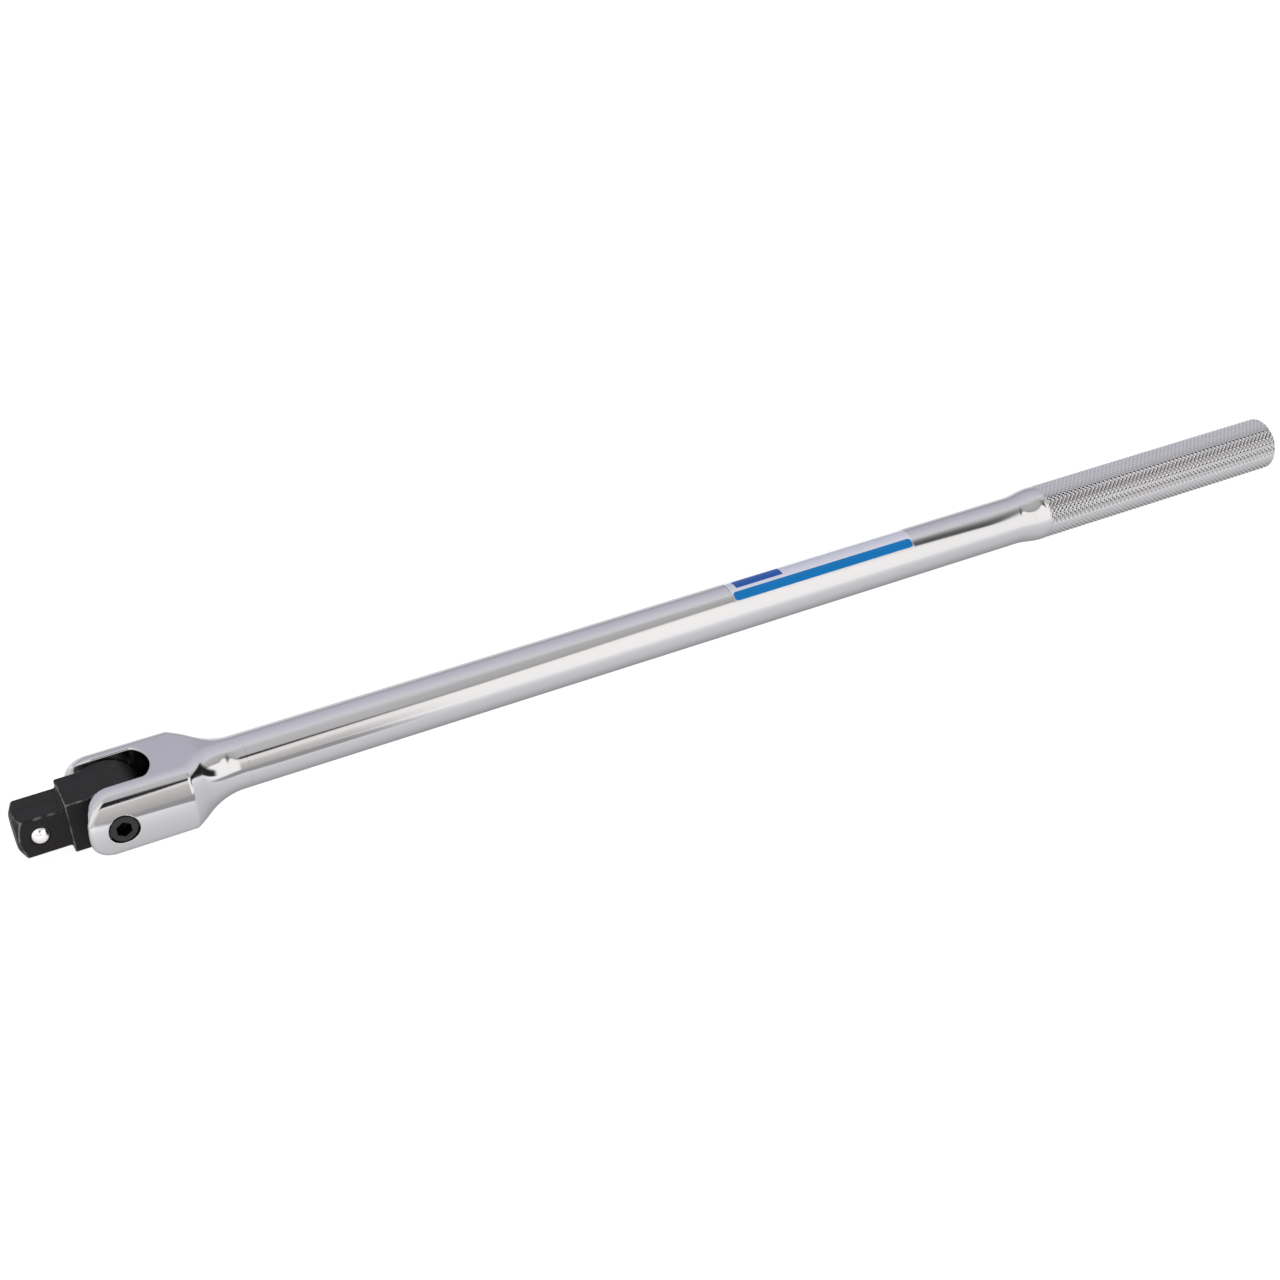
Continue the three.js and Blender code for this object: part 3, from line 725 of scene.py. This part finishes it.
# ---------------------------------------------------------------- label
def bar_shape(u, v, u0, u1, v0, v1, r):
    """Distance to a rounded bar printed between u0 and u1, v0 and v1."""
    du = np.abs(u - (u0 + u1) / 2) - (u1 - u0) / 2 + r
    dv = np.abs(v - (v0 + v1) / 2) - (v1 - v0) / 2 + r
    return np.hypot(np.maximum(du, 0), np.maximum(dv, 0)) + np.minimum(np.maximum(du, dv), 0) - r


def make_shaft_label():
    low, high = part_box("shaft_label")
    x0, x1 = low.x / MM, high.x / MM
    inner, outer = SHAFT_RADIUS + LABEL_LIFT, SHAFT_RADIUS + LABEL_TOP
    across = np.radians(np.linspace(LABEL_LOW_ANGLE, LABEL_HIGH_ANGLE, 60))
    along = np.linspace(x0 + 0.1, x1 - 0.1, 240)
    x, e = np.meshgrid(along, across, indexing="ij")
    corner = 1.2
    into_corner = np.clip(np.abs(x - (x0 + x1) / 2) - (x1 - x0) / 2 + corner, 0, 1.1) / corner
    inward = 0.9 * (1 - np.sqrt(np.clip(1 - into_corner**2, 0, 1)))
    middle = np.radians((LABEL_LOW_ANGLE + LABEL_HIGH_ANGLE) / 2)
    e = middle + (e - middle) * (1 - 0.12 * inward)
    n, m = len(along), len(across)
    sheets = [np.stack([x, -r * np.cos(e), r * np.sin(e)], -1).reshape(-1, 3) for r in (outer, inner)]
    points = np.concatenate(sheets)
    i, j = np.meshgrid(np.arange(n - 1), np.arange(m - 1), indexing="ij")
    a = (i * m + j).ravel()
    top = np.stack([a, a + m, a + m + 1, a + 1], 1)
    faces = np.concatenate([top, top[:, ::-1] + n * m])
    rim = [k * m for k in range(n)] + [(n - 1) * m + k for k in range(1, m)]
    rim += [k * m + m - 1 for k in range(n - 2, -1, -1)] + list(range(m - 2, 0, -1))
    side = [[b, a, a + n * m, b + n * m] for a, b in zip(rim, rim[1:] + rim[:1])]
    piece = new_piece("shaft_label_film", points, [list(map(int, f)) for f in faces] + side)
    piece.data.set_sharp_from_angle(angle=math.radians(40))
    deg = math.pi / 180 * outer
    u = np.tile(x.ravel(), 2)
    v = np.tile(np.degrees(e).ravel(), 2) * deg
    stripe_v = [a * deg for a in STRIPE_ANGLES]
    block_v = [a * deg for a in BLOCK_ANGLES]
    attribute(piece, "stripe", bar_shape(u, v, x0 + STRIPE_INSET, x1 - STRIPE_INSET, *stripe_v, 1.2))
    attribute(piece, "block", bar_shape(u, v, x0 + BLOCK_START, x0 + BLOCK_END, *block_v, 0.3))
    return put(piece, "handle", "label_film", "shaft_label")


# ---------------------------------------------------------------- materials
def new_material(name):
    material = bpy.data.materials.new(name)
    material.use_nodes = True
    nodes, links = material.node_tree.nodes, material.node_tree.links
    return material, nodes, links, nodes["Principled BSDF"]


class Tree:
    """Short calls for the nodes that the materials share."""

    def __init__(self, nodes, links):
        self.nodes, self.links = nodes, links
        self.place = None

    def position(self):
        if self.place is None:
            self.place = self.nodes.new("ShaderNodeTexCoord").outputs["Object"]
        return self.place

    def wire(self, value, socket):
        if isinstance(value, bpy.types.NodeSocket):
            self.links.new(value, socket)
        else:
            socket.default_value = value

    def stretched(self, scale):
        node = self.nodes.new("ShaderNodeMapping")
        node.inputs["Scale"].default_value = scale
        self.links.new(self.position(), node.inputs["Vector"])
        return node.outputs["Vector"]

    def noise(self, scale, stretch=(1, 1, 1), detail=3.0, rough=0.55):
        node = self.nodes.new("ShaderNodeTexNoise")
        node.inputs["Scale"].default_value = scale
        node.inputs["Detail"].default_value = detail
        node.inputs["Roughness"].default_value = rough
        self.links.new(self.stretched(stretch), node.inputs["Vector"])
        return node.outputs["Fac"]

    def math(self, operation, a, b=0.0):
        node = self.nodes.new("ShaderNodeMath")
        node.operation = operation
        for value, socket in zip((a, b), node.inputs):
            self.wire(value, socket)
        return node.outputs["Value"]

    def ranged(self, value, low, high, to_low, to_high):
        node = self.nodes.new("ShaderNodeMapRange")
        node.interpolation_type = "SMOOTHSTEP"
        names = ("Value", "From Min", "From Max", "To Min", "To Max")
        for name, source in zip(names, (value, low, high, to_low, to_high)):
            self.wire(source, node.inputs[name])
        return node.outputs["Result"]

    def mix(self, factor, a, b):
        node = self.nodes.new("ShaderNodeMix")
        node.data_type = "RGBA"
        self.wire(factor, node.inputs["Factor"])
        for value, key in ((a, "A"), (b, "B")):
            socket = next(s for s in node.inputs if s.name == key and s.type == "RGBA")
            self.wire(value, socket)
        return next(s for s in node.outputs if s.type == "RGBA")

    def bump(self, height, strength, distance, after=None):
        node = self.nodes.new("ShaderNodeBump")
        node.inputs["Strength"].default_value = strength
        node.inputs["Distance"].default_value = distance
        self.wire(height, node.inputs["Height"])
        if after is not None:
            self.links.new(after, node.inputs["Normal"])
        return node.outputs["Normal"]

    def ramp(self, value, stops):
        node = self.nodes.new("ShaderNodeValToRGB")
        elements = node.color_ramp.elements
        while len(elements) > 1:
            elements.remove(elements[0])
        elements[0].position, elements[0].color = stops[0][0], (*stops[0][1], 1)
        for position, colour in stops[1:]:
            elements.new(position).color = (*colour, 1)
        self.wire(value, node.inputs["Fac"])
        return node.outputs["Color"]

    def attribute(self, name):
        node = self.nodes.new("ShaderNodeAttribute")
        node.attribute_name = name
        return node.outputs["Fac"]


def chrome_material():
    material, nodes, links, shader = new_material("polished_chrome")
    tree = Tree(nodes, links)
    haze = tree.noise(60, (0.25, 1, 1), 4)
    grain = tree.noise(900, (0.04, 1, 1), 2)
    sweep = tree.noise(38, (0.5, 1, 1), 1)
    shader.inputs["Metallic"].default_value = 1.0
    shader.inputs["Specular Tint"].default_value = (0.62, 0.62, 0.64, 1)
    clean = tree.mix(haze, (0.545, 0.545, 0.55, 1), (0.60, 0.595, 0.60, 1))
    # Ridges in the band are lightened towards a warm pale colour: a painted highlight.
    clean = tree.mix(tree.ranged(tree.attribute("painted_ridge_highlight"), 0.2, 0.9, 0, 1), clean, (0.86, 0.845, 0.79, 1))
    # Grooves are darkened, a little everywhere and most in the band, where it is painted shade.
    groove_dark_share = tree.ranged(tree.attribute("groove_darkening_and_painted_shade"), 0.18, 0.95, 0, 0.5)
    links.new(tree.mix(groove_dark_share, clean, (0.03, 0.027, 0.02, 1)), shader.inputs["Base Color"])
    links.new(tree.ranged(haze, 0.3, 0.75, 0.05, 0.11), shader.inputs["Roughness"])
    wavy = tree.bump(sweep, 0.25, 0.0004)
    links.new(tree.bump(grain, 0.06, 0.00002, wavy), shader.inputs["Normal"])
    return material


def black_head_material():
    material, nodes, links, shader = new_material("black_phosphate")
    tree = Tree(nodes, links)
    mottle = tree.noise(420, (1, 1, 1), 5, 0.65)
    patches = tree.noise(90, (1, 1, 1), 3)
    base = tree.mix(mottle, (0.006, 0.0055, 0.0045, 1), (0.016, 0.0145, 0.0125, 1))
    base = tree.mix(tree.ranged(patches, 0.4, 0.7, 0, 0.5), base, (0.010, 0.0085, 0.011, 1))
    uneven = tree.ranged(tree.noise(260), 0.25, 0.7, 0.25, 1.0)
    rubbed = tree.math("MULTIPLY", tree.attribute("edge_wear"), uneven)
    worn = tree.ranged(rubbed, 0.25, 0.95, 0, 0.75)
    links.new(tree.mix(worn, base, (0.24, 0.23, 0.215, 1)), shader.inputs["Base Color"])
    links.new(tree.ranged(rubbed, 0.3, 1.0, 0.1, 0.7), shader.inputs["Metallic"])
    links.new(tree.ranged(mottle, 0.3, 0.7, 0.42, 0.58), shader.inputs["Roughness"])
    shader.inputs["Specular IOR Level"].default_value = 0.2
    links.new(tree.bump(mottle, 0.35, 0.00006), shader.inputs["Normal"])
    return material


def black_oxide_material():
    material, nodes, links, shader = new_material("black_oxide")
    tree = Tree(nodes, links)
    fine = tree.noise(700, (1, 1, 1), 3)
    oxide = tree.mix(fine, (0.010, 0.010, 0.010, 1), (0.026, 0.025, 0.024, 1))
    # The hex socket's inside is painted near black and nearly without gloss: painted shade in the recess.
    socket_shade = tree.attribute("socket")
    links.new(tree.mix(socket_shade, oxide, (0.001, 0.001, 0.001, 1)), shader.inputs["Base Color"])
    links.new(tree.ranged(socket_shade, 0, 1, 0.35, 0.0), shader.inputs["Metallic"])
    links.new(tree.ranged(socket_shade, 0, 1, 0.5, 0.04), shader.inputs["Specular IOR Level"])
    links.new(tree.ranged(fine, 0.3, 0.7, 0.34, 0.5), shader.inputs["Roughness"])
    links.new(tree.bump(fine, 0.2, 0.00003), shader.inputs["Normal"])
    return material


def steel_material(name, low, high, rough_low, rough_high):
    material, nodes, links, shader = new_material(name)
    tree = Tree(nodes, links)
    fine = tree.noise(500, (1, 1, 1), 4)
    shader.inputs["Metallic"].default_value = 1.0
    links.new(tree.mix(fine, (*low, 1), (*high, 1)), shader.inputs["Base Color"])
    links.new(tree.ranged(fine, 0.3, 0.7, rough_low, rough_high), shader.inputs["Roughness"])
    links.new(tree.bump(fine, 0.05, 0.00002), shader.inputs["Normal"])
    return material


def label_material():
    material, nodes, links, shader = new_material("printed_film")
    tree = Tree(nodes, links)
    grain = tree.noise(300, (1, 1, 1), 3)
    stripe = tree.ranged(tree.attribute("stripe"), -0.05, 0.05, 1, 0)
    block = tree.ranged(tree.attribute("block"), -0.05, 0.05, 1, 0)
    film = tree.mix(grain, (0.64, 0.655, 0.69, 1), (0.70, 0.715, 0.75, 1))
    colour = tree.mix(stripe, film, (0.004, 0.168, 0.46, 1))
    colour = tree.mix(block, colour, (0.012, 0.085, 0.35, 1))
    links.new(colour, shader.inputs["Base Color"])
    ink = tree.math("MAXIMUM", stripe, block)
    links.new(tree.math("SUBTRACT", 1.0, ink), shader.inputs["Metallic"])
    links.new(tree.ranged(grain, 0.3, 0.7, 0.16, 0.24), shader.inputs["Roughness"])
    shader.inputs["Specular IOR Level"].default_value = 0.15
    links.new(tree.bump(grain, 0.08, 0.00003), shader.inputs["Normal"])
    return material


def finish_with(piece, material):
    piece.data.materials.clear()
    piece.data.materials.append(material)


# ---------------------------------------------------------------- studio
# Directions round the bar are given as an angle about its axis: 0 is level towards the camera's
# side, 90 straight up and 180 level behind.
OVERHEAD = [
    (84, (0.86, 0.85, 0.88)),
    (94, (1.0, 0.99, 1.05)),
    (110, (0.93, 0.91, 0.99)),
    (126, (0.83, 0.81, 0.92)),
    (142, (0.77, 0.765, 0.88)),
    (158, (0.66, 0.65, 0.74)),
    (166, (0.60, 0.60, 0.67)),
    (168, (0.95, 0.95, 0.97)),
    (180, (1.25, 1.25, 1.25)),
]
FRONT_DIM = [
    (0, (0.66, 0.64, 0.62)),
    (14, (0.82, 0.79, 0.77)),
    (20, (0.88, 0.85, 0.83)),
    (30, (1.25, 1.22, 1.2)),
    (42, (1.25, 1.22, 1.2)),
    (50, (0.74, 0.72, 0.72)),
    (66, (0.77, 0.755, 0.76)),
    (79, (0.80, 0.79, 0.80)),
]
FRONT_BRIGHT = [
    (0, (1.45, 1.43, 1.41)),
    (12, (1.5, 1.47, 1.45)),
    (42, (1.5, 1.47, 1.45)),
    (45.5, (1.3, 1.27, 1.25)),
    (49, (0.5, 0.49, 0.48)),
    (54, (0.62, 0.61, 0.6)),
    (66, (0.70, 0.69, 0.69)),
    (79, (0.72, 0.71, 0.71)),
]
FRONT_GAP = [
    (0, (1.42, 1.4, 1.38)),
    (12, (1.5, 1.47, 1.45)),
    (38, (1.45, 1.42, 1.4)),
    (43, (1.2, 1.17, 1.15)),
    (46.5, (0.13, 0.13, 0.13)),
    (58, (0.13, 0.13, 0.13)),
    (68, (0.3, 0.3, 0.3)),
    (78, (0.62, 0.61, 0.62)),
]
FRONT_END = [
    (0, (0.78, 0.76, 0.75)),
    (25, (1.0, 0.98, 0.97)),
    (45, (1.4, 1.38, 1.36)),
    (79, (1.2, 1.18, 1.18)),
]
# How far the front bands rise, in degrees, by how much a direction leans along the bar.
EDGE_RISE = [
    (0.20, 0.0), (0.25, -6.0), (0.303, -2.0), (0.346, 3.0), (0.398, 9.5), (0.45, 11.0), (0.492, 7.5),
    (0.519, -1.3), (0.530, -6.0), (0.538, 6.0), (0.547, 20.0), (0.62, 20.0), (0.72, 8.0),
]
RISE_SPAN = 60.0
LINE_ANGLE = 45.5


def make_world():
    """Light and dark bands by direction, with a black line in directions that hardly lean along the bar."""
    world = bpy.data.worlds.new("soft_studio")
    world.use_nodes = True
    nodes, links = world.node_tree.nodes, world.node_tree.links
    tree = Tree(nodes, links)
    direction = nodes.new("ShaderNodeTexCoord").outputs["Generated"]
    split = nodes.new("ShaderNodeSeparateXYZ")
    links.new(direction, split.inputs["Vector"])
    x, y, z = split.outputs
    along = tree.math("MAXIMUM", x, 0.0)
    angle = tree.math("ARCTAN2", z, tree.math("MULTIPLY", y, -1.0))
    angle = tree.math("MULTIPLY", angle, 1 / math.pi)
    grey = [(s, (0.5 + degrees / RISE_SPAN,) * 3) for s, degrees in EDGE_RISE]
    rise = tree.math("SUBTRACT", tree.ramp(along, grey), 0.5)
    rise = tree.math("MULTIPLY", rise, RISE_SPAN / 180)
    near = tree.ranged(angle, 0.05, 0.2, 0, 1)
    far = tree.ranged(angle, 70 / 180, 95 / 180, 1, 0)
    shifted = tree.math("SUBTRACT", angle, tree.math("MULTIPLY", rise, tree.math("MULTIPLY", near, far)))

    def ramp(front):
        return tree.ramp(shifted, [(deg / 180, colour) for deg, colour in front + OVERHEAD])

    dim, bright, gap, end = ramp(FRONT_DIM), ramp(FRONT_BRIGHT), ramp(FRONT_GAP), ramp(FRONT_END)
    from_line = tree.math("ABSOLUTE", tree.math("SUBTRACT", angle, LINE_ANGLE / 180))
    half_line = tree.ranged(along, 0.105, 0.14, 12.0 / 180, 3.4 / 180)
    half_line = tree.math("MULTIPLY", half_line, tree.ranged(along, 0.18, 0.26, 1, 0))
    off_line = tree.math("SUBTRACT", from_line, half_line)
    dim = tree.mix(tree.ranged(off_line, -0.006, 0.014, 0, 1), (0.012, 0.012, 0.014, 1), dim)
    sky = tree.mix(tree.ranged(along, 0.205, 0.27, 0, 1), dim, bright)
    sky = tree.mix(tree.ranged(along, 0.40, 0.51, 0, 1), sky, gap)
    sky = tree.mix(tree.ranged(along, 0.533, 0.546, 0, 1), sky, bright)
    dark = tree.math("MULTIPLY", tree.ranged(along, 0.80, 0.88, 0, 1), tree.ranged(z, 0.2, 0.32, 1, 0))
    sky = tree.mix(dark, sky, (0.02, 0.02, 0.02, 1))
    sky = tree.mix(tree.ranged(x, -0.25, 0.0, 1, 0), sky, end)
    links.new(sky, nodes["Background"].inputs["Color"])
    nodes["Background"].inputs["Strength"].default_value = 1.0
    bpy.context.scene.world = world


def stage_sheet(name, z):
    far = FLOOR_HALF_SIZE
    points = [(-far, -far, z), (far, -far, z), (far, far, z), (-far, far, z)]
    piece = new_piece(name, points, [[0, 1, 2, 3]])
    return piece


def make_floor():
    floor = stage_sheet("floor", FLOOR_Z)
    material, nodes, links, shader = new_material("pale_floor")
    nodes.remove(shader)
    glow = nodes.new("ShaderNodeEmission")
    glow.inputs["Color"].default_value = (1.0, 1.0, 1.0, 1)
    glow.inputs["Strength"].default_value = 0.94
    matt = nodes.new("ShaderNodeBsdfDiffuse")
    matt.inputs["Color"].default_value = (0.2, 0.2, 0.2, 1)
    both = nodes.new("ShaderNodeAddShader")
    links.new(glow.outputs["Emission"], both.inputs[0])
    links.new(matt.outputs["BSDF"], both.inputs[1])
    links.new(both.outputs["Shader"], nodes["Material Output"].inputs["Surface"])
    finish_with(floor, material)


# What polished metal sees in the floor, by the distance from the bar's line in metres; the lower values
# near the bar are a painted shadow.
FLOOR_GLOW_AND_PAINTED_SHADOW = [
    (0.006, 0.66), (0.0086, 0.75), (0.0117, 0.84), (0.016, 0.91), (0.024, 0.97),
    (0.031, 1.04), (0.045, 1.15), (0.079, 1.38), (0.15, 1.47),
]
GLOW_SPAN = 2.0


def make_glow_sheet():
    """A glowing sheet on the floor that only reflections see: dimmer under the bar, which is a painted
    shadow, and dimmer in front of the yoke.
    """
    sheet = stage_sheet("card_floor", FLOOR_Z + 0.02)
    material, nodes, links, shader = new_material("card_glow")
    nodes.remove(shader)
    tree = Tree(nodes, links)
    split = nodes.new("ShaderNodeSeparateXYZ")
    links.new(tree.position(), split.inputs["Vector"])
    x, y = split.outputs["X"], split.outputs["Y"]
    away = tree.math("ABSOLUTE", y)
    front = tree.math("MULTIPLY", y, -1.0)
    base = tree.ramp(away, [(m, (glow / GLOW_SPAN,) * 3) for m, glow in FLOOR_GLOW_AND_PAINTED_SHADOW])
    base = tree.math("MULTIPLY", base, GLOW_SPAN)
    # The dim area's four sides, in metres; two of them run slantwise.
    in_front = tree.ranged(front, 0.033, 0.041, 0, 1)
    beyond = tree.ranged(tree.math("ADD", front, tree.math("MULTIPLY", x, 0.87)), 0.101, 0.112, 0, 1)
    right = tree.ranged(tree.math("SUBTRACT", x, tree.math("MULTIPLY", front, 0.18)), 0.095, 0.14, 1, 0)
    left = tree.ranged(x, 0.026, 0.036, 0, 1)
    across, sideways = tree.math("MULTIPLY", in_front, beyond), tree.math("MULTIPLY", right, left)
    dim_share = tree.math("MULTIPLY", across, sideways)
    dim = tree.ranged(front, 0.06, 0.38, 0.46, 0.65)
    change = tree.math("MULTIPLY", dim_share, tree.math("SUBTRACT", dim, base))
    strength = tree.math("ADD", base, change)
    light = nodes.new("ShaderNodeEmission")
    light.inputs["Color"].default_value = (0.985, 0.972, 0.993, 1)
    links.new(strength, light.inputs["Strength"])
    links.new(light.outputs["Emission"], nodes["Material Output"].inputs["Surface"])
    finish_with(sheet, material)
    for rays in ("camera", "diffuse", "shadow", "transmission", "volume_scatter"):
        setattr(sheet, f"visible_{rays}", False)


def make_camera():
    data = bpy.data.cameras.new("camera")
    data.sensor_width = 36.0
    data.lens = 55.125
    data.clip_start, data.clip_end = 0.01, 100.0
    camera = bpy.data.objects.new("camera", data)
    right = (0.8903, -0.4525, -0.0517)
    down = (-0.2787, -0.4515, -0.8476)
    ahead = (0.3602, 0.769, -0.528)
    place = (-0.0269, -0.48507, 0.33166)
    camera.matrix_world = Matrix(
        [(right[i], -down[i], -ahead[i], place[i]) for i in range(3)] + [(0, 0, 0, 1)]
    )
    bpy.context.scene.collection.objects.link(camera)
    bpy.context.scene.camera = camera


make_camera()
make_world()
make_floor()
make_glow_sheet()
bpy.context.scene.view_settings.view_transform = "Standard"
bright_steel = steel_material("bright_steel", (0.90, 0.89, 0.88), (0.96, 0.95, 0.94), 0.12, 0.2)
finish_with(make_handle_bar(), chrome_material())
finish_with(make_drive_head(), black_head_material())
finish_with(make_pivot_screw(), black_oxide_material())
finish_with(make_retaining_ball(), bright_steel)
finish_with(make_friction_plunger(), bright_steel)
for spring in make_springs():
    finish_with(spring, steel_material("spring_steel", (0.35, 0.35, 0.36), (0.5, 0.5, 0.5), 0.25, 0.35))
finish_with(make_shaft_label(), label_material())
